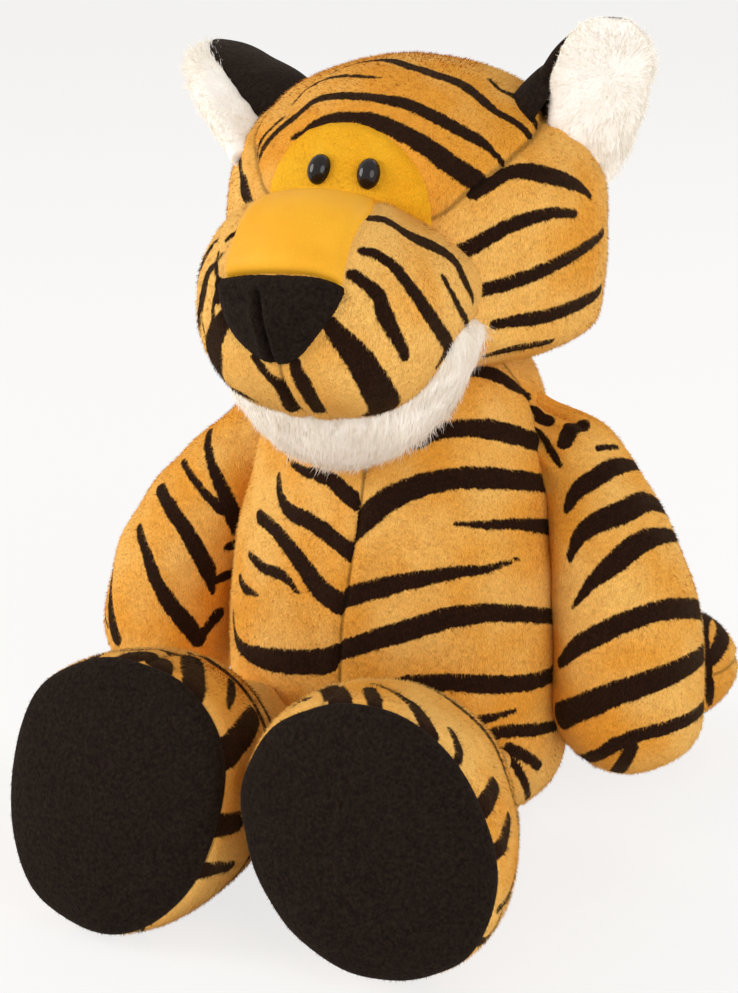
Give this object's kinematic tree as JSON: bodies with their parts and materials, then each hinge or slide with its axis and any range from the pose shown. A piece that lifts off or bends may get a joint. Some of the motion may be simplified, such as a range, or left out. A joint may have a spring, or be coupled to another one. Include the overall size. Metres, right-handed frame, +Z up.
{
  "type": "plush tiger",
  "caption": "Seated plush tiger with striped pile panels, a satin nose bridge, a white fur beard, cupped ears, dark soles and a curled tail.",
  "frame": {"origin": "on the ground, under the middle of the whole toy's bounding box", "axes": "+Z up; the tiger faces -Y and its left side is +X"},
  "size_m": [0.2746, 0.3042, 0.343],
  "materials": {
    "striped_plush": "short golden pile printed with dark brown stripes",
    "satin": "smooth satin weave",
    "gold_plush": "very short golden pile",
    "dark_velour": "dense dark brown velour",
    "white_fur": "white fur, 10 to 16 mm long",
    "filling": "loose polyester fibre",
    "glossy_black": "polished",
    "washer_plastic": "as moulded"
  },
  "bodies": {
    "body": {"body_front_left": "striped_plush", "body_front_right": "striped_plush", "body_back_left": "striped_plush", "body_back_right": "striped_plush", "body_stuffing": "filling"},
    "head": {"head_crown": "striped_plush", "brow_patch": "gold_plush", "head_cheek_left": "striped_plush", "head_cheek_right": "striped_plush", "head_stuffing": "filling", "eye_left": "glossy_black", "eye_right": "glossy_black", "eye_washer_left": "washer_plastic", "eye_washer_right": "washer_plastic", "nose": "dark_velour", "muzzle_bridge": "satin", "muzzle_left": "striped_plush", "muzzle_right": "striped_plush", "chin_beard": "white_fur"},
    "ear_left": {"ear_left_back": "dark_velour", "ear_left_lining": "white_fur"},
    "arm_left": {"arm_left_back": "striped_plush", "arm_left_front": "striped_plush", "arm_left_stuffing": "filling"},
    "leg_left": {"sole_left": "dark_velour", "leg_left_outer": "striped_plush", "leg_left_inner": "striped_plush", "leg_left_stuffing": "filling"},
    "ear_right": {"ear_right_back": "dark_velour", "ear_right_lining": "white_fur"},
    "arm_right": {"arm_right_back": "striped_plush", "arm_right_front": "striped_plush", "arm_right_stuffing": "filling"},
    "leg_right": {"sole_right": "dark_velour", "leg_right_outer": "striped_plush", "leg_right_inner": "striped_plush", "leg_right_stuffing": "filling"},
    "tail": {"tail_top": "striped_plush", "tail_bottom": "striped_plush", "tail_stuffing": "filling"}
  },
  "joints": [
    {"name": "head_turn", "type": "hinge", "parent": "body", "child": "head", "pos_m": [0.0039, 0.03581, 0.199], "axis": [0, 0, 1], "range_deg": [-25, 25], "stiffness_Nm_per_rad": 0.25},
    {"name": "ear_left_fold", "type": "hinge", "parent": "head", "child": "ear_left", "pos_m": [0.0629, 0.03681, 0.276], "axis": [-0.4871, -0.8648, 0.1221], "range_deg": [-15, 15], "stiffness_Nm_per_rad": 0.06},
    {"name": "arm_left_raise", "type": "hinge", "parent": "body", "child": "arm_left", "pos_m": [0.05389, 0.03381, 0.193], "axis": [0, -1, 0], "range_deg": [0, 50]},
    {"name": "leg_left_swing", "type": "hinge", "parent": "body", "child": "leg_left", "pos_m": [0.04489, -0.02619, 0.024], "axis": [-1, 0, 0], "range_deg": [-60, 30], "stiffness_Nm_per_rad": 0.2},
    {"name": "ear_right_fold", "type": "hinge", "parent": "head", "child": "ear_right", "pos_m": [-0.05511, 0.03681, 0.276], "axis": [0.2828, 0.9462, -0.1573], "range_deg": [-15, 15], "stiffness_Nm_per_rad": 0.06},
    {"name": "arm_right_raise", "type": "hinge", "parent": "body", "child": "arm_right", "pos_m": [-0.04611, 0.03381, 0.193], "axis": [0, 1, 0], "range_deg": [0, 50]},
    {"name": "leg_right_swing", "type": "hinge", "parent": "body", "child": "leg_right", "pos_m": [-0.0371, -0.02619, 0.024], "axis": [-1, 0, 0], "range_deg": [-60, 30], "stiffness_Nm_per_rad": 0.2},
    {"name": "tail_swing", "type": "hinge", "parent": "body", "child": "tail", "pos_m": [0.0039, 0.06381, 0.0176], "axis": [0, 0, 1], "range_deg": [-15, 15], "stiffness_Nm_per_rad": 0.1}
  ]
}
